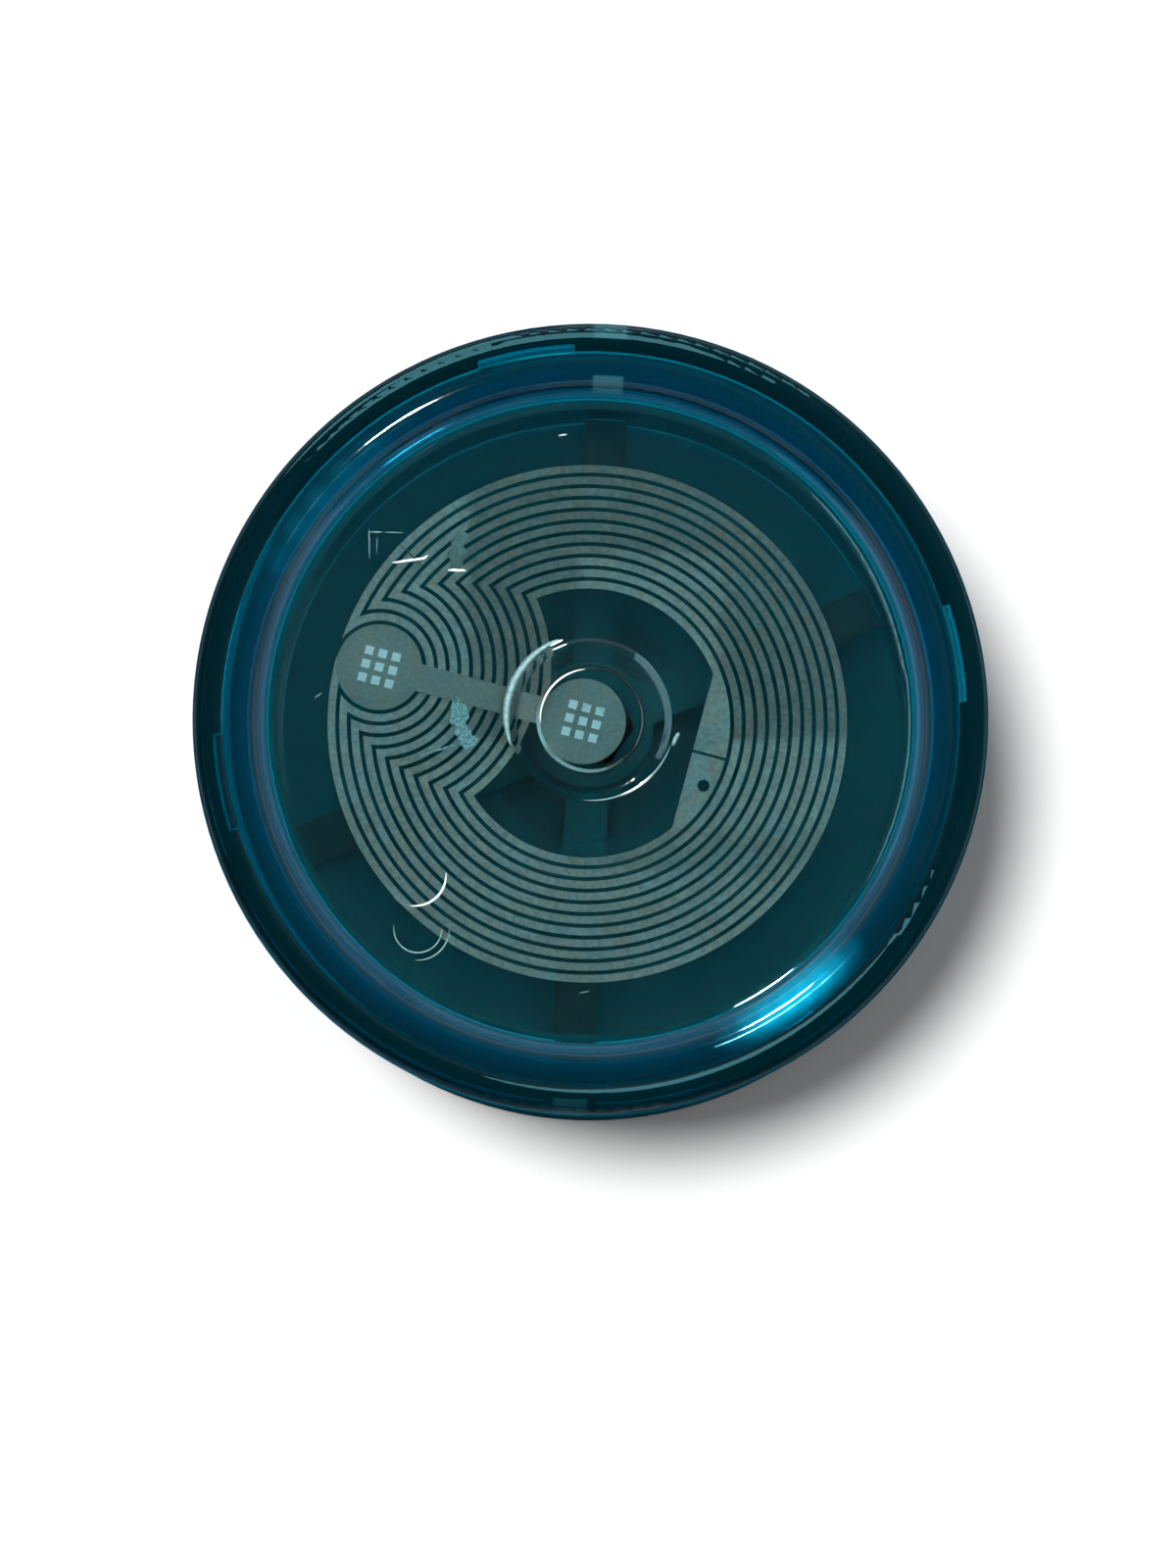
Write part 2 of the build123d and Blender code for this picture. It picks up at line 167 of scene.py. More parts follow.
# %% [markdown]
# ## Dyed polycarbonate
#
# The halves and faces are injection-moulded polycarbonate, dyed through in teal. A coloured surface would
# tint thick and thin places alike. Real dye works inside: light loses red first, then green, with every
# millimetre, so thin walls come out pale teal and thick rims nearly black. So the surface is glass with
# polycarbonate's index, 1.585, and a Volume Absorption does the tinting, per metre: density times one less
# the colour.
#
# The dye also scatters a little, which keeps the deepest places from going black. That haze is a small
# diffuse share, one less the transmission weight. A polished mould gives the rim and the face a mirror
# gloss, and the inside of the mould, left from the cutter, gives satin. Both finishes are on one piece, so
# they change over at a radius. Hands leave the gloss slightly uneven in patches of several millimetres,
# and cooling leaves a waviness of a few microns.


# %% Dye, distances and masks
dye_density = 3000.0
polycarbonate_index = 1.585


def dye(absorbed_per_mm):
    """The absorption colour that takes this share of red, green and blue per millimetre."""
    return (*[1 - a / mm / dye_density for a in absorbed_per_mm], 1.0)


def radius_of(material, place):
    """The distance from the axle."""
    flat = add(material, "ShaderNodeVectorMath", {"operation": "MULTIPLY"}, _0=place, _1=(1, 1, 0))
    return add(material, "ShaderNodeVectorMath", {"operation": "LENGTH"}, Vector=flat)


def from_middle(material, place):
    """The distance from the middle plane, towards either face."""
    height = add(material, "ShaderNodeSeparateXYZ", Vector=place).outputs["Z"]
    above = add(material, "ShaderNodeMath", {"operation": "SUBTRACT"}, _0=height, _1=middle)
    return add(material, "ShaderNodeMath", {"operation": "ABSOLUTE"}, Value=above)


def where_all(material, *ranges):
    """A product of masks. Each turns start to end, in mm, of a distance into low to high."""
    mask = 1.0
    for distance, start_mm, end_mm, low, high in ranges:
        one = add(
            material,
            "ShaderNodeMapRange",
            Value=distance,
            From_Min=start_mm * mm,
            From_Max=end_mm * mm,
            To_Min=low,
            To_Max=high,
        )
        mask = add(material, "ShaderNodeMath", {"operation": "MULTIPLY"}, _0=mask, _1=one)
    return mask


absorbed_in_halves = (0.5, 0.10, 0.07)
absorbed_in_caps = (0.42, 0.20, 0.17)
print("halves", dye(absorbed_in_halves), "caps", dye(absorbed_in_caps))

# %% [markdown]
# Along the line at 87 degrees, in line with two of the ribs, light from the floor shows up where the rib
# meets the walls. That light is painted in as a paler, hazier and less clear stripe across the rim and the
# hump. The stripe is masked by the distance from that line, in a band of radius, and only near the face.
# On the rim a fainter one stands opposite.


# %% Painted light stripe
lit_rib_line = math.radians(87)
across_lit_rib = (math.sin(lit_rib_line), -math.cos(lit_rib_line), 0)
stripe_edge_mm = 0.1
band_edge_mm = 0.05


def painted_rib_light_stripe(material, place, radius, half_width_mm, start_mm, end_mm, far_side):
    """1 within half_width_mm of the lit rib line, between two radii, and far_side opposite it: the mask of
    the painted light.
    """
    dot = add(material, "ShaderNodeVectorMath", {"operation": "DOT_PRODUCT"}, _0=place, _1=across_lit_rib)
    away = add(material, "ShaderNodeMath", {"operation": "ABSOLUTE"}, Value=dot)
    lit_rib_side = add(material, "ShaderNodeSeparateXYZ", Vector=place).outputs["Y"]
    return where_all(
        material,
        (away, half_width_mm - stripe_edge_mm, half_width_mm + stripe_edge_mm, 1.0, 0.0),
        (radius, start_mm - band_edge_mm, start_mm + band_edge_mm, 0.0, 1.0),
        (radius, end_mm - band_edge_mm, end_mm + band_edge_mm, 1.0, 0.0),
        (lit_rib_side, -1.0, 1.0, far_side, 1.0),
        (from_middle(material, place), 12.5, 13.5, 0.0, 1.0),
    )


print("painted light stripe at", round(math.degrees(lit_rib_line)), "degrees")

# %% [markdown]
# The ribs inside each half stand closer to the face than its floor, so less of the bright floor shows
# through them, and they read as dull bands, brownish beside the teal. That shade is painted, as a dull
# brownish haze on the rib tops. Their height above the middle plane picks them out, between the hub and
# the wall. A separate rib material would need the CAD face list, and height is simpler and moves with the
# part.


# %% One function for both mouldings
# Painted shade: the dull, brownish haze of the rib tops.
rib_painted_shade = linear("#5F7A72")
# Painted light: the paler haze of the stripe along the lit rib line.
painted_light_haze = linear("#5FB7C4")
painted_light_dulls = 0.12
finish_edge_mm = 0.1


def painted_rib_shade_mask(material, place, radius):
    """Up to 0.6 on the tops of the ribs, which stand 5.3 to 7 mm from the middle plane: where the painted
    shade goes.
    """
    return where_all(
        material,
        (from_middle(material, place), 5.25, 5.4, 0.0, 1.0),
        (radius, 22.5, 23.0, 0.6, 0.0),
        (radius, 17.0, 18.5, 0.0, 1.0),
    )


def polycarbonate(name, absorbed_per_mm, change_mm, inner, outer, stripe, ribs):
    """inner and outer are (haze colour, clearness, roughness). stripe is as painted_rib_light_stripe takes
    it.
    """
    material, place = new_material(name)
    radius = radius_of(material, place)
    outside = where_all(material, (radius, change_mm - finish_edge_mm, change_mm + finish_edge_mm, 0.0, 1.0))
    painted_light_mask = painted_rib_light_stripe(material, place, radius, *stripe)
    haze = add(material, "ShaderNodeMix", of_colours, Factor=outside, A=linear(inner[0]), B=linear(outer[0]))
    if ribs:
        # Painted shade on the rib tops.
        rib = painted_rib_shade_mask(material, place, radius)
        haze = add(material, "ShaderNodeMix", of_colours, Factor=rib, A=haze, B=rib_painted_shade)
    # Painted light: the stripe gets a paler haze and less clearness.
    haze = add(material, "ShaderNodeMix", of_colours, Factor=painted_light_mask, A=haze, B=painted_light_haze)
    clear = add(material, "ShaderNodeMapRange", Value=outside, To_Min=inner[1], To_Max=outer[1])
    dulled = add(material, "ShaderNodeMath", {"operation": "MULTIPLY"}, _0=painted_light_mask, _1=painted_light_dulls)
    polish = add(material, "ShaderNodeMapRange", Value=outside, To_Min=inner[2], To_Max=outer[2])
    touch = add(material, "ShaderNodeTexNoise", Vector=place, Scale=across(6.0), Detail=3.0)
    handled = add(material, "ShaderNodeMapRange", Value=touch, From_Min=0.4, From_Max=0.7, To_Max=0.02)
    wavy = add(material, "ShaderNodeTexNoise", Vector=place, Scale=across(2.5), Detail=1.0)
    shader = add(
        material,
        "ShaderNodeBsdfPrincipled",
        Base_Color=haze,
        Roughness=add(material, "ShaderNodeMath", {"operation": "ADD"}, _0=polish, _1=handled),
        IOR=polycarbonate_index,
        Transmission_Weight=add(material, "ShaderNodeMath", {"operation": "SUBTRACT"}, _0=clear, _1=dulled),
        Normal=add(material, "ShaderNodeBump", Height=wavy, Distance=0.003 * mm),
    )
    volume = add(material, "ShaderNodeVolumeAbsorption", Color=dye(absorbed_per_mm), Density=dye_density)
    add(material, "ShaderNodeOutputMaterial", Surface=shader, Volume=volume)
    return material


moulded = polycarbonate(
    "moulded_polycarbonate",
    absorbed_per_mm=absorbed_in_halves,
    change_mm=25.3,
    inner=("#00BDC9", 0.77, 0.14),
    outer=("#00ABC0", 0.965, 0.02),
    stripe=(1.2, 27.3, 29.0, 0.5),
    ribs=True,
)
dress(moulded, "near_half_shell", "far_half_shell")

# %% [markdown]
# The face caps are the same plastic with more dye, polished on both sides over the flat plate, so the
# inlay behind shows sharply. Round the plate runs a raised hump, which is thick, and its haze is bluer.

# %% Face caps
polished = polycarbonate(
    "polished_polycarbonate",
    absorbed_per_mm=absorbed_in_caps,
    change_mm=23.6,
    inner=("#FFFFFF", 1.0, 0.015),
    outer=("#0092B4", 0.955, 0.03),
    # The painted light stripe over the hump, with none opposite.
    stripe=(1.1, 23.6, 24.7, 0.0),
    ribs=False,
)
dress(polished, "near_face_cap", "far_face_cap")

# %% [markdown]
# ## Etched aluminium foil
#
# The antenna is aluminium foil, 0.05 mm thick, laminated to film and etched into turns. Rolled foil is a
# bright metal but not a mirror: rolling and lamination leave it matt with a fine grain, and the adhesive
# shows through as slightly warm and slightly cool patches of one to three millimetres. Aluminium keeps the
# default index, is fully metallic, and starts from a roughness of 0.5. Its rolling grain, about 0.05 mm,
# is drawn at 0.3 mm so that it shows. The crimping tool has burnished what it raised on the strap.


# %% Foil
foil_speck = linear("#7E837C")
burnished = linear("#FDFFFF")
crimp_edge = 0.01 * mm


def foil(name, warm, cool, crimped_above=None):
    """Matt aluminium foil. What stands above crimped_above is burnished by the crimping tool."""
    material, place = new_material(name)
    clouds = add(material, "ShaderNodeTexNoise", Vector=place, Scale=across(1.8), Detail=4.0)
    cloud = add(material, "ShaderNodeMapRange", Value=clouds, From_Min=0.38, From_Max=0.62)
    grain = add(material, "ShaderNodeTexNoise", Vector=place, Scale=across(0.3), Detail=5.0)
    speck = add(material, "ShaderNodeMapRange", Value=grain, From_Min=0.35, From_Max=0.65, To_Max=0.45)
    colour = add(material, "ShaderNodeMix", of_colours, Factor=cloud, A=linear(warm), B=linear(cool))
    colour = add(material, "ShaderNodeMix", of_colours, Factor=speck, A=colour, B=foil_speck)
    if crimped_above:
        height = add(material, "ShaderNodeSeparateXYZ", Vector=place).outputs["Z"]
        low, high = crimped_above - crimp_edge, crimped_above + crimp_edge
        crimp = add(material, "ShaderNodeMapRange", Value=height, From_Min=low, From_Max=high)
        colour = add(material, "ShaderNodeMix", of_colours, Factor=crimp, A=colour, B=burnished)
    shader = add(
        material,
        "ShaderNodeBsdfPrincipled",
        Base_Color=colour,
        Metallic=1.0,
        Roughness=add(
            material, "ShaderNodeMapRange", Value=grain, From_Min=0.3, From_Max=0.7, To_Min=0.42, To_Max=0.6
        ),
        Normal=add(material, "ShaderNodeBump", Height=grain, Distance=0.03 * mm),
    )
    add(material, "ShaderNodeOutputMaterial", Surface=shader)
    return material


crimp_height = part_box("bridge_strap")[1][2] - 0.03 * mm
dress(foil("etched_aluminium_foil", "#C4BEB2", "#B7C2C2"), "antenna_coil")
dress(foil("crimped_aluminium_strap", "#A19D95", "#939D9D", crimp_height), "bridge_strap")

# %% [markdown]
# ## Clear polyester film
#
# The film that carries the foil is 0.1 mm of polyester. It is so thin and clear that it is hardly seen. It
# could be glass, but it touches the foil face to face, and glass against metal swallows light there. So it
# is a dark, nearly transparent skin that only dulls what is under it a little.

# %% Film
film, film_place = new_material("clear_polyester_film")
tint = add(film, "ShaderNodeTexNoise", Vector=film_place, Scale=across(4.0))
matt = add(film, "ShaderNodeTexNoise", Vector=film_place, Scale=across(0.8))
film_rough = add(film, "ShaderNodeMapRange", Value=matt, From_Min=0.3, From_Max=0.7, To_Min=0.25, To_Max=0.4)
film_shader = add(
    film,
    "ShaderNodeBsdfPrincipled",
    Base_Color=add(film, "ShaderNodeMix", of_colours, Factor=tint, A=linear("#0A1616"), B=linear("#101E20")),
    Roughness=film_rough,
    IOR=1.58,
    Alpha=0.04,
)
add(film, "ShaderNodeOutputMaterial", Surface=film_shader)
dress(film, "inlay_film")

# %% [markdown]
# ## Turned and ground metals
#
# Three metals sit on the axle. The nuts and the stud are steel, blackened in an oxide bath and oiled: dark,
# with a faint sheen. The bearing is chrome steel, ground and polished. The spacers are turned brass. A
# lathe leaves rings, one per feed of 0.05 mm, drawn here at 0.15 mm so that they show. So one function
# takes a colour pair, a roughness and the height of its rings, and the metals differ only in those.


# %% Axle metals
lathe_rings = {"wave_type": "RINGS", "rings_direction": "Z"}
wave_length_at_scale_1 = 2 * math.pi / 20


def turned_metal(name, colour, other, roughness, ring_tall_mm, ring_pitch_mm=0.15):
    """A lathe-turned or ground metal, with rings round the axle."""
    material, place = new_material(name)
    clouds = add(material, "ShaderNodeTexNoise", Vector=place, Scale=across(3.0))
    cloud = add(material, "ShaderNodeMapRange", Value=clouds, From_Min=0.35, From_Max=0.65)
    tint = add(material, "ShaderNodeMix", of_colours, Factor=cloud, A=linear(colour), B=linear(other))
    rings = add(
        material,
        "ShaderNodeTexWave",
        lathe_rings,
        Vector=place,
        Scale=wave_length_at_scale_1 / (ring_pitch_mm * mm),
        Distortion=0.6,
    )
    shader = add(
        material,
        "ShaderNodeBsdfPrincipled",
        Base_Color=tint,
        Metallic=1.0,
        Roughness=add(
            material,
            "ShaderNodeMapRange",
            Value=clouds,
            From_Min=0.3,
            From_Max=0.7,
            To_Min=roughness - 0.06,
            To_Max=roughness + 0.08,
        ),
        Normal=add(material, "ShaderNodeBump", Height=rings.outputs["Fac"], Distance=ring_tall_mm * mm),
    )
    add(material, "ShaderNodeOutputMaterial", Surface=shader)
    return material


black_oxide = turned_metal("black_oxide_steel", "#262628", "#34302C", 0.36, 0.003)
ground_steel = turned_metal("ground_chrome_steel", "#CFD1D4", "#BEC0C2", 0.16, 0.0005)
brass = turned_metal("turned_brass", "#D2AE64", "#BC9650", 0.28, 0.003)
dress(black_oxide, "axle_stud", "near_axle_nut", "far_axle_nut")
dress(ground_steel, "bearing_inner_race", "bearing_outer_race", "bearing_balls")
dress(ground_steel, "near_bearing_shield", "far_bearing_shield")
dress(brass, "near_spacer", "far_spacer")

# %% [markdown]
# ## Nylon cage and silicone pads
#
# The ball cage is moulded nylon, a milky ivory plastic that a little light goes into, which a small
# subsurface share gives. The response pads are dark silicone rubber, cast flat with a fine matt texture
# and some dust on it. Both are plain materials in two close colours with a grain of a real size.


# %% Nylon and silicone
def moulded_solid(name, colour, other, roughness, grain_mm, grain_tall_mm, subsurface):
    """A solid-coloured plastic or rubber with a fine grain."""
    material, place = new_material(name)
    clouds = add(material, "ShaderNodeTexNoise", Vector=place, Scale=across(1.5), Detail=3.0)
    cloud = add(material, "ShaderNodeMapRange", Value=clouds, From_Min=0.35, From_Max=0.65)
    tint = add(material, "ShaderNodeMix", of_colours, Factor=cloud, A=linear(colour), B=linear(other))
    grain = add(material, "ShaderNodeTexNoise", Vector=place, Scale=across(grain_mm), Detail=4.0)
    shader = add(
        material,
        "ShaderNodeBsdfPrincipled",
        Base_Color=tint,
        Roughness=add(
            material,
            "ShaderNodeMapRange",
            Value=grain,
            From_Min=0.3,
            From_Max=0.7,
            To_Min=roughness - 0.08,
            To_Max=roughness + 0.08,
        ),
        Subsurface_Weight=subsurface,
        Subsurface_Scale=0.3 * mm,
        Normal=add(material, "ShaderNodeBump", Height=grain, Distance=grain_tall_mm * mm),
    )
    add(material, "ShaderNodeOutputMaterial", Surface=shader)
    return material


dress(moulded_solid("moulded_nylon", "#E9E3D2", "#DAD2BC", 0.45, 0.25, 0.006, 0.2), "bearing_cage")
silicone = moulded_solid("cast_silicone", "#1B2123", "#252B2C", 0.6, 0.12, 0.01, 0.0)
dress(silicone, "near_response_pad", "far_response_pad")

# %% [markdown]
# ## Marks that use and assembly leave, and painted highlights
#
# A used face is not clean. It has a few scratches and a dab of glue beside the strap, and the edges of its
# marks carry painted highlights.
# Scratches could be a bump in the material, but then they are lost where the mesh is used by itself, so
# each is a real, closed ridge of a few hundredths of a millimetre. They all have the same make: a path on
# the face, a width that tapers to both ends, and a height. The face they lie on is found from the cap's
# own points beside the moat round the centre.

# %% The faces that marks lie on
lift = 0.004 * mm
cap_points = [v.co for v in nodes["near_face_cap"].data.vertices]
beside_moat = [p.z for p in cap_points if 5.0 * mm < math.hypot(p.x, p.y) < 8.0 * mm]
plate_top = max(beside_moat) + lift
film_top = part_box("inlay_film")[1][2] + lift
print("plate top", round(plate_top / mm, 3), "film top", round(film_top / mm, 3))


# %% [markdown]
# A ridge is a small loft: at each point of its path it has a row of points across, low at the edges and
# high in the middle. The last face closes it underneath, so it is a true solid. The noise that makes glue
# lumpy is read at the place itself, so it is the same in every run.


# %% Ridge
def ridge(name, path, z, width_mm, tall_mm, material, lumpy=0.0, points_across=3, blunt=0.5):
    """A closed ridge along flat points in mm. It tapers to its ends, less so with a small blunt."""
    bm = bmesh.new()
    rows = []
    for i, (x, y) in enumerate(path):
        ahead = Vector(path[min(i + 1, len(path) - 1)])
        along = (ahead - Vector(path[max(i - 1, 0)])).normalized()
        side = Vector((-along.y, along.x))
        taper = math.sin(math.pi * (i + 0.5) / len(path)) ** blunt
        row = []
        for j in range(points_across):
            v = j / (points_across - 1)
            wobble = 1 + lumpy * noise.noise(Vector((x, y, v)) * 2.0)
            point = Vector((x, y)) + side * (v - 0.5) * width_mm * taper * wobble
            bulge = math.sin(math.pi * v) * taper
            if 0 < j < points_across - 1:
                bulge *= 1 + lumpy * noise.noise(Vector((point.x, point.y, 0)) * 4.0)
            row.append(bm.verts.new((point.x * mm, point.y * mm, z + max(bulge, 0) * tall_mm * mm)))
        rows.append(row)
    for row, after in zip(rows, rows[1:]):
        for j in range(points_across - 1):
            bm.faces.new((row[j], after[j], after[j + 1], row[j + 1]))
        bm.faces.new((row[0], row[-1], after[-1], after[0]))
    bm.faces.new(rows[0])
    bm.faces.new(rows[-1])
    bmesh.ops.recalc_face_normals(bm, faces=bm.faces)
    mesh = bpy.data.meshes.new(name)
    bm.to_mesh(mesh)
    bm.free()
    mesh.shade_smooth()
    mesh.materials.append(material)
    piece = bpy.data.objects.new(name, mesh)
    bpy.context.scene.collection.objects.link(piece)
    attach(piece, "near_half")
    return piece


# %% [markdown]
# Two kinds of path serve every mark. A scratch is a straight stroke that wanders a little, and a painted
# highlight follows an arc, such as the edge of an ejector mark.


# %% Paths
def stroke(start, end, bow_mm=0.0, steps=12):
    """Points from start to end, bowed to one side and slightly unsteady."""
    start, end = Vector(start), Vector(end)
    side = Vector((start.y - end.y, end.x - start.x)).normalized()
    points = []
    for i in range(steps + 1):
        t = i / steps
        point = start.lerp(end, t)
        unsteady = 0.03 * noise.noise(Vector((point.x, point.y, 7.0)) * 3.0)
        points.append(tuple(point + side * (bow_mm * math.sin(math.pi * t) + unsteady)))
    return points


def arc(centre, radius_mm, start, end):
    """Points along an arc, in degrees anticlockwise from +X, one for each 3 degrees or so."""
    steps = max(4, round(abs(end - start) / 3))
    angles = [math.radians(start + (end - start) * i / steps) for i in range(steps + 1)]
    return [(centre[0] + radius_mm * math.cos(a), centre[1] + radius_mm * math.sin(a)) for a in angles]


def polar(radius_mm, degrees):
    """A point on the face, by its distance from the axle and its angle."""
    return (radius_mm * math.cos(math.radians(degrees)), radius_mm * math.sin(math.radians(degrees)))


# %% [markdown]
# Scratched polycarbonate turns white: the torn surface scatters light instead of letting it through. That
# is a pale, fairly rough plastic, here pure white, so its white is partly a painted glint. The same white
# and a paler teal paint highlights along the edges of marks. A scratch that has filled with dirt is dark
# instead. Dried glue is a milky resin with a wet gloss on its lumps.


# %% Mark materials
def mark_material(name, colour, other, roughness):
    """A small mark's finish, mottled at 0.2 mm."""
    material, place = new_material(name)
    clouds = add(material, "ShaderNodeTexNoise", Vector=place, Scale=across(0.2), Detail=3.0)
    cloud = add(material, "ShaderNodeMapRange", Value=clouds, From_Min=0.35, From_Max=0.65)
    tint = add(material, "ShaderNodeMix", of_colours, Factor=cloud, A=linear(colour), B=linear(other))
    low, high = roughness - 0.05, roughness + 0.1
    shader = add(
        material,
        "ShaderNodeBsdfPrincipled",
        Base_Color=tint,
        Roughness=add(material, "ShaderNodeMapRange", Value=cloud, To_Min=low, To_Max=high),
        IOR=polycarbonate_index,
        Normal=add(material, "ShaderNodeBump", Height=cloud, Distance=0.01 * mm),
    )
    add(material, "ShaderNodeOutputMaterial", Surface=shader)
    return material


# Partly white scuff, partly a painted glint on scratches and painted highlights on edges.
white_scuff_and_painted_glint = mark_material("scuffed_polycarbonate_with_painted_glint", "#FFFFFF", "#D8ECEC", 0.3)
# Partly pale scuff, partly painted sheen and glare on edges.
faint_scuff_and_painted_sheen = mark_material("rubbed_polycarbonate_with_painted_sheen", "#7C9C9C", "#4E7E84", 0.4)
dirty_scratch = mark_material("dirty_scratch", "#14302E", "#0C2220", 0.6)
dried_glue = mark_material("dried_clear_glue", "#E8FBFA", "#6FA3A6", 0.25)
print("mark materials", white_scuff_and_painted_glint.name, faint_scuff_and_painted_sheen.name, dirty_scratch.name, dried_glue.name)

# %% [markdown]
# The deepest marks cross the coil towards the upper left of the face: one short gouge, one long bent
# scratch, and a dirty one across it, with a few hairlines beside them. The white of the gouge, the long
# scratch and the top nick is partly a painted glint.

# %% Scratches
scratch_tall_mm = 0.02
bent_end = stroke((-11.95, 11.6), (-11.7, 11.86), steps=3)
scratches = [
    ("gouge", stroke((-10.25, 10.75), (-9.0, 10.71)), 0.24, white_scuff_and_painted_glint),
    ("long_scratch", stroke((-14.3, 11.27), (-12.0, 11.58)) + bent_end, 0.22, white_scuff_and_painted_glint),
    ("dirty_scratch", stroke((-13.75, 12.65), (-12.1, 11.1)), 0.1, dirty_scratch),
    ("hairline_1", stroke((-15.9, 13.5), (-15.0, 13.52)), 0.12, faint_scuff_and_painted_sheen),
    ("hairline_2", stroke((-14.8, 13.5), (-13.5, 13.48)), 0.08, faint_scuff_and_painted_sheen),
    ("hairline_3", stroke((-15.95, 13.7), (-15.9, 11.6)), 0.09, faint_scuff_and_painted_sheen),
    ("hairline_4", stroke((-15.35, 13.1), (-15.4, 12.0)), 0.06, faint_scuff_and_painted_sheen),
    ("nick_top", stroke((-2.3, 20.5), (-1.7, 20.62), steps=6), 0.1, white_scuff_and_painted_glint),
    ("nick_bottom", stroke((-0.8, -19.7), (-0.1, -19.55), steps=6), 0.08, faint_scuff_and_painted_sheen),
    ("nick_left", stroke((-19.8, 1.5), (-19.3, 1.9), steps=6), 0.1, faint_scuff_and_painted_sheen),
]
for name, path, width, material in scratches:
    ridge(name, path, plate_top, width, scratch_tall_mm, material)
print("scratches", len(scratches))

# %% [markdown]
# The mould's ejector pins left two round marks at the lower left. Thin white and pale ridges along their
# edges, on the side away from the light, and along the moat's edge round the centre, are painted highlights,
# with a broad painted glare on the moat's upper left. They lie along arcs with the marks' own centres and
# radii.

# %% Painted edge highlights
painted_highlight_tall_mm = 0.015
pin_mark = polar(16.86, 221.9)
ring_mark = polar(19.5, 230.7)
painted_edge_highlights = [
    ("painted_highlight_pin_mark", arc(pin_mark, 2.2, -100, 5), 0.2, white_scuff_and_painted_glint),
    ("painted_highlight_pin_mark_tail", arc(pin_mark, 2.2, -135, -98), 0.08, faint_scuff_and_painted_sheen),
    ("painted_highlight_ring_mark_inner", arc(ring_mark, 1.72, 170, 365), 0.13, faint_scuff_and_painted_sheen),
    ("painted_highlight_ring_mark_outer", arc(ring_mark, 2.25, -95, 0), 0.12, faint_scuff_and_painted_sheen),
    # A broad painted glare on the moat's upper left edge.
    ("painted_highlight_moat_upper", arc((0, 0.1), 6.05, 112, 200), 0.6, faint_scuff_and_painted_sheen),
    ("painted_highlight_moat_glint_1", stroke((-2.9, 5.25), (-2.0, 5.7), steps=6), 0.2, white_scuff_and_painted_glint),
    ("painted_highlight_moat_glint_2", stroke((-2.75, 4.95), (-1.7, 5.4), steps=6), 0.14, white_scuff_and_painted_glint),
    ("painted_highlight_moat_lower", arc((0.12, 0.1), 5.98, -96, -20), 0.16, faint_scuff_and_painted_sheen),
    ("painted_highlight_moat_lower_bright", arc((0.12, 0.1), 5.98, -78, -36), 0.2, white_scuff_and_painted_glint),
    ("painted_highlight_moat_smudge", stroke((5.9, -1.9), (6.35, -1.0), steps=6), 0.35, faint_scuff_and_painted_sheen),
    ("painted_highlight_moat_inner", arc((0, 0), 3.6, 96, 185), 0.16, white_scuff_and_painted_glint),
]
for name, path, width, material in painted_edge_highlights:
    ridge(name, path, plate_top, width, painted_highlight_tall_mm, material)
print("painted edge highlights", len(painted_edge_highlights), "pin mark at", pin_mark)

# %% [markdown]
# Under the plate, a dab of clear glue holds the inlay beside its strap. It was pressed flat against the
# plate as it set, so it is wrinkled. It lies in the gap between the film and the plate, so it is a little
# lower than the strap's crimps. Across the coil further up lies a smear of foil dust, left by trimming.

# %% Glue
glue_clearance_mm = 0.01
pressed = 0.8
glue_gap_mm = (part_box("bridge_strap")[1][2] - film_top) / mm - glue_clearance_mm
foil_dust = foil("smeared_foil_dust", "#98A19C", "#849494")
glue_dabs = [
    ("glue_dab", stroke((-9.5, 2.0), (-8.55, -2.0), bow_mm=-0.35, steps=40), 1.3, dried_glue),
    ("glue_tail", stroke((-12.3, -2.6), (-9.6, -1.75), steps=20), 0.2, dried_glue),
    ("glue_smear", stroke((-9.2, 13.7), (-9.9, 10.9), steps=30), 1.1, foil_dust),
]
for name, path, width, material in glue_dabs:
    tall = glue_gap_mm * pressed
    dab = ridge(name, path, film_top, width, tall, material, lumpy=0.9, points_across=15, blunt=0.3)
print("glue between film and plate", round(glue_gap_mm, 3), "mm")

# %% [markdown]
# ## The floor
#
# The object lies on plain white paper. It could be a flat white, but a real sheet has a faint tooth and
# tone, so its colour moves a hundredth or two and its fibres, 0.5 mm long, raise a slight bump. It is
# hidden from mirror reflections, so the glossy side just above it stays dark instead of mirroring a white
# sheet. It is large enough that the view from above never sees its edge.

# %% Floor
floor_half = 3.0
corners = [(-1, -1), (1, -1), (1, 1), (-1, 1)]
floor_mesh = bpy.data.meshes.new("floor")
floor_mesh.from_pydata([(x * floor_half, y * floor_half, 0) for x, y in corners], [], [(0, 1, 2, 3)])
floor = bpy.data.objects.new("floor", floor_mesh)
bpy.context.scene.collection.objects.link(floor)
paper, paper_place = new_material("white_paper")
tone = add(paper, "ShaderNodeTexNoise", Vector=paper_place, Scale=across(20.0), Detail=3.0)
tooth = add(paper, "ShaderNodeTexNoise", Vector=paper_place, Scale=across(0.5), Detail=3.0)
paper_shader = add(
    paper,
    "ShaderNodeBsdfPrincipled",
    Base_Color=add(paper, "ShaderNodeMix", of_colours, Factor=tone, A=linear("#F4F4F3"), B=linear("#F0F0F0")),
    Roughness=0.9,
    Normal=add(paper, "ShaderNodeBump", Height=tooth, Distance=0.02 * mm),
)
add(paper, "ShaderNodeOutputMaterial", Surface=paper_shader)
floor_mesh.materials.append(paper)
floor.visible_glossy = False
print("floor", 2 * floor_half, "m square")

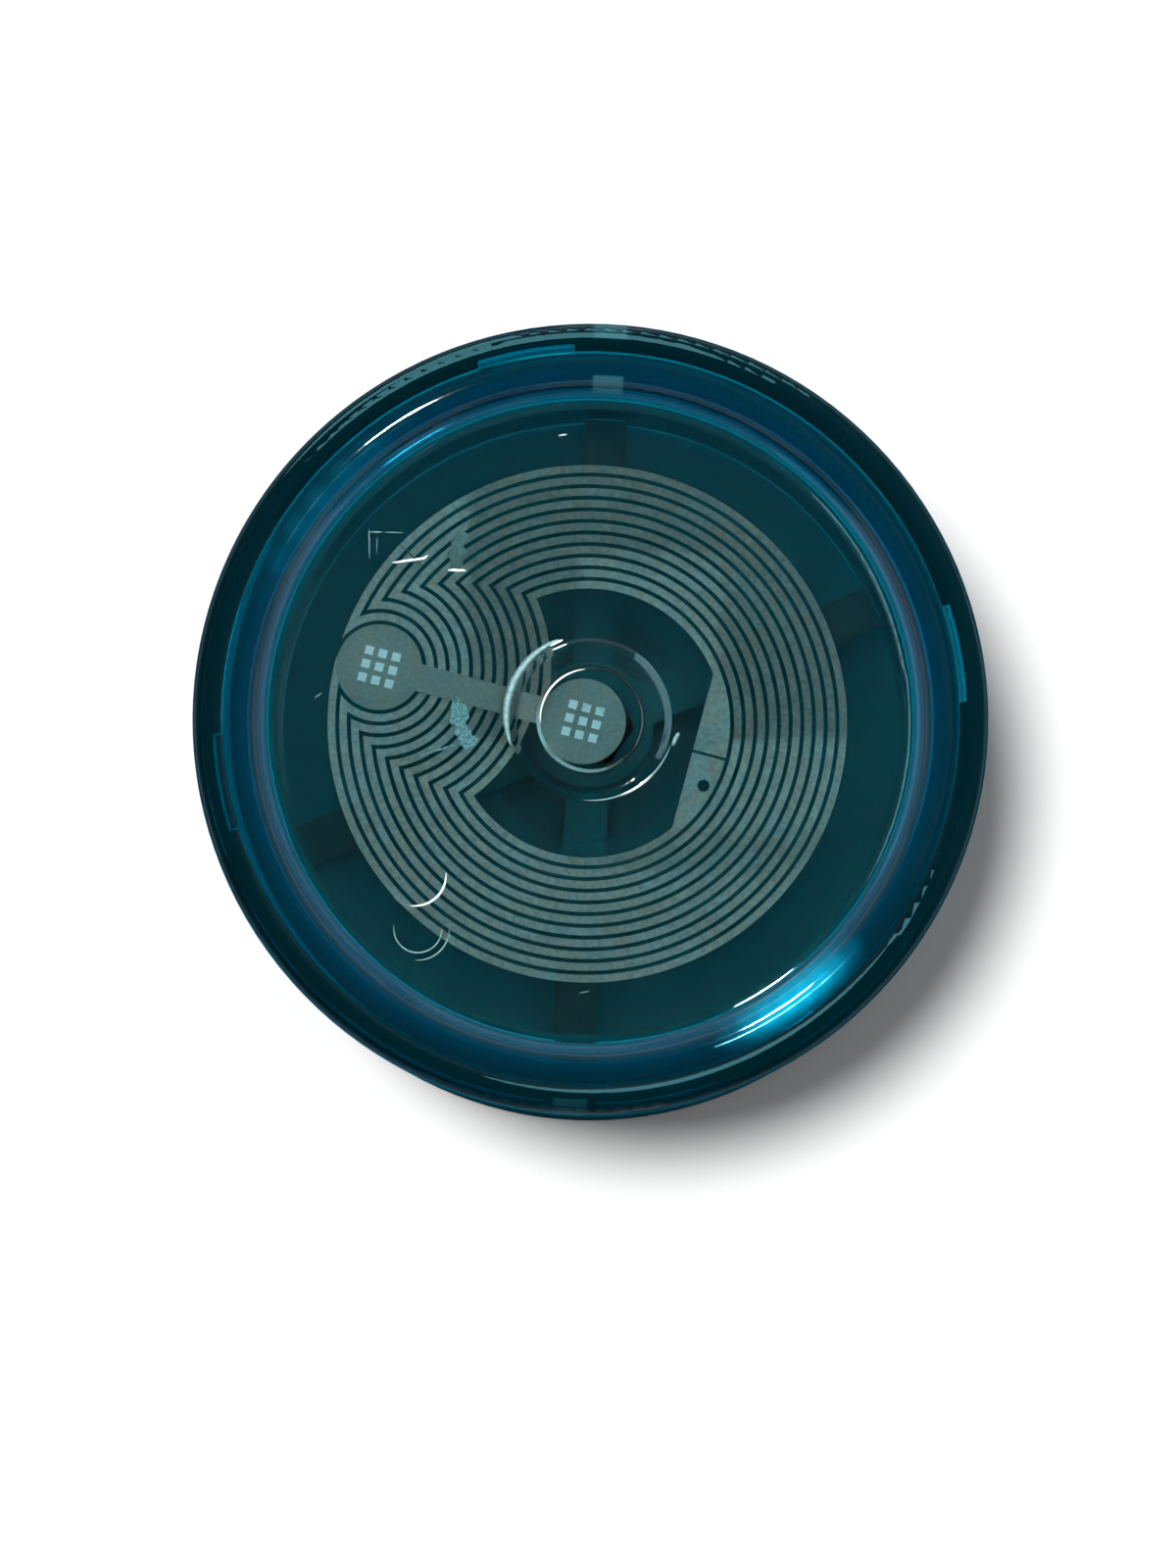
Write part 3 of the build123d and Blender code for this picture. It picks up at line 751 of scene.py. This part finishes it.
# %% [markdown]
# ## The light
#
# Daylight falls from the upper left, and the rest of the room is dim, so the plastic stays deep. A single
# lamp would either burn out the paper or leave the object dull. So the two are lit apart, with light
# linking. Two lamps reach only the floor and cast the soft shadow. A small bright softbox makes the face's
# highlights, a wider teal one does so on the rim, and three wide ones fill the sides. The fills are hidden
# from mirror reflections, or each would show as a pale disc in the gloss.

# %% Lamps
def receivers(name, *pieces, exclude=False):
    """The objects that a lamp lights, or with exclude, the only ones that it doesn't."""
    group = bpy.data.collections.new(name)
    for index, piece in enumerate(pieces):
        group.objects.link(piece)
        if exclude:
            group.collection_objects[index].light_linking.link_state = "EXCLUDE"
    return group


def place_lamp(lamp, azimuth, off_vertical, distance, lit, target=(0, 0, 0)):
    """azimuth is in degrees anticlockwise from +X, and off_vertical from straight up."""
    a, o = math.radians(azimuth), math.radians(off_vertical)
    direction = Vector((math.cos(a) * math.sin(o), math.sin(a) * math.sin(o), math.cos(o)))
    lamp_object = bpy.data.objects.new(lamp.name, lamp)
    lamp_object.location = Vector(target) + distance * direction
    lamp_object.rotation_euler = direction.to_track_quat("Z", "Y").to_euler()
    lamp_object.light_linking.receiver_collection = lit
    bpy.context.scene.collection.objects.link(lamp_object)
    return lamp_object


def softbox(name, azimuth, off_vertical, distance, size, watts, lit):
    """A round lamp with an even face."""
    lamp = bpy.data.lights.new(name, "AREA")
    lamp.shape = "DISK"
    lamp.size = size
    lamp.energy = watts
    return place_lamp(lamp, azimuth, off_vertical, distance, lit)


def daylight(name, azimuth, off_vertical, strength, spread, lit):
    """Parallel light, softened by the angle it comes from."""
    lamp = bpy.data.lights.new(name, "SUN")
    lamp.energy = strength
    lamp.angle = math.radians(spread)
    return place_lamp(lamp, azimuth, off_vertical, 1.0, lit)


shells = [nodes["near_half_shell"], nodes["far_half_shell"]]
only_floor = receivers("only_floor", floor)
only_shells = receivers("only_shells", *shells)
not_floor = receivers("not_floor", floor, exclude=True)
not_floor_or_shells = receivers("not_floor_or_shells", floor, *shells, exclude=True)
sun = daylight("daylight", azimuth=152, off_vertical=12, strength=3.1, spread=12, lit=only_floor)
sky = daylight("sky", azimuth=0, off_vertical=0, strength=0.5, spread=150, lit=only_floor)
window = softbox("window", 117, 28, distance=0.8, size=0.07, watts=8.0, lit=not_floor_or_shells)
on_rim = softbox("window_on_rim", 105, 34, distance=0.8, size=0.45, watts=1.6, lit=only_shells)
on_rim.data.color = (0.3, 0.85, 1.0)
fills = [
    softbox("fill_right", 20, 38, distance=0.9, size=0.8, watts=6.5, lit=not_floor),
    softbox("fill_left", 170, 65, distance=0.9, size=0.8, watts=2.2, lit=not_floor),
    softbox("fill_far", 80, 60, distance=0.9, size=0.8, watts=4.0, lit=not_floor),
]
for fill in fills:
    fill.visible_glossy = False
print("lamps", [lamp.name for lamp in (sun, sky, window, on_rim, *fills)])

# %% [markdown]
# Curved clear plastic also gathers light, as a lens does. The window's light crosses the face and is
# gathered in the hump on the far side, where it glows cyan, and more faintly on the near side. A path
# tracer finds such caustics slowly and with noise. So a row of narrow spots stands in for them: they light
# only the face cap, and only its haze, since they make no gloss.

# %% Gathered light in the hump
only_cap = receivers("only_near_cap", nodes["near_face_cap"])
glow_height = 60 * mm
glow_colour = (0.3, 1.0, 1.0)
hump_radius_mm = 24.7
hump_top = cad_box[1][2] - 0.6 * mm
middle_length_watts = [(-54, 11, 4.5), (141, 18, 0.5)]
for centre, half_length, watts in middle_length_watts:
    for step in (-1.0, -0.66, -0.33, 0.0, 0.33, 0.66, 1.0):
        x, y = polar(hump_radius_mm, centre + step * half_length)
        lamp = bpy.data.lights.new(f"glow_{centre}_{step}", "SPOT")
        lamp.energy = watts * math.cos(step * math.pi / 2 * 0.9)
        lamp.color = glow_colour
        lamp.spot_size = math.radians(3.2)
        lamp.spot_blend = 1.0
        lamp.shadow_soft_size = 0.5 * mm
        spot = place_lamp(lamp, 0, 0, glow_height, only_cap, target=(x * mm, y * mm, hump_top))
        spot.visible_glossy = False
print("glows centred at", [centre for centre, _, _ in middle_length_watts], "degrees")

# %% [markdown]
# ## The room
#
# The room is a plain gradient. It is pale at the horizon, so that a view from the side has a light
# background, and dark overhead, so that the face, seen from above, reflects almost nothing. Below the
# horizon it is dark too, like a table, for the sides of the yo-yo to reflect. A picture of a room would
# give busier reflections, and plain ones read better on clear plastic. The ramp's positions run from
# straight down, 0, through the horizon, 0.5, to straight up, 1.

# %% Room and colour
world = bpy.data.worlds.new("room")
bpy.context.scene.world = world
world.use_nodes = True
room_place = add(world, "ShaderNodeTexCoord").outputs["Generated"]
room_height = add(world, "ShaderNodeSeparateXYZ", Vector=room_place).outputs["Z"]
up_or_down = add(world, "ShaderNodeMapRange", Value=room_height, From_Min=-1.0, From_Max=1.0)
room_ramp = add(world, "ShaderNodeValToRGB", Fac=up_or_down)
table_dark = (0.004, 0.02, 0.025, 1)
horizon_grey = (0.75, 0.75, 0.75, 1)
wall_grey = (0.2, 0.2, 0.2, 1)
overhead_dark = (0.006, 0.006, 0.006, 1)
stops = room_ramp.color_ramp.elements
stops[0].color = table_dark
stops[1].color = overhead_dark
stops[1].position = 0.875
for position, colour in [(0.42, table_dark), (0.46, horizon_grey), (0.50, horizon_grey), (0.65, wall_grey)]:
    stops.new(position).color = colour
background = world.node_tree.nodes["Background"]
world.node_tree.links.new(room_ramp.outputs["Color"], background.inputs["Color"])
bpy.context.scene.view_settings.view_transform = "Standard"
print("room", len(stops), "stops")

# %% [markdown]
# Light goes through up to eight walls of plastic and back, so the ray has to be allowed enough bounces, or
# the inside goes black.

# %% Bounces
cycles = bpy.context.scene.cycles
cycles.max_bounces = 32
cycles.transmission_bounces = 32
cycles.transparent_max_bounces = 32
cycles.glossy_bounces = 8
cycles.diffuse_bounces = 6
print("bounces", cycles.max_bounces)
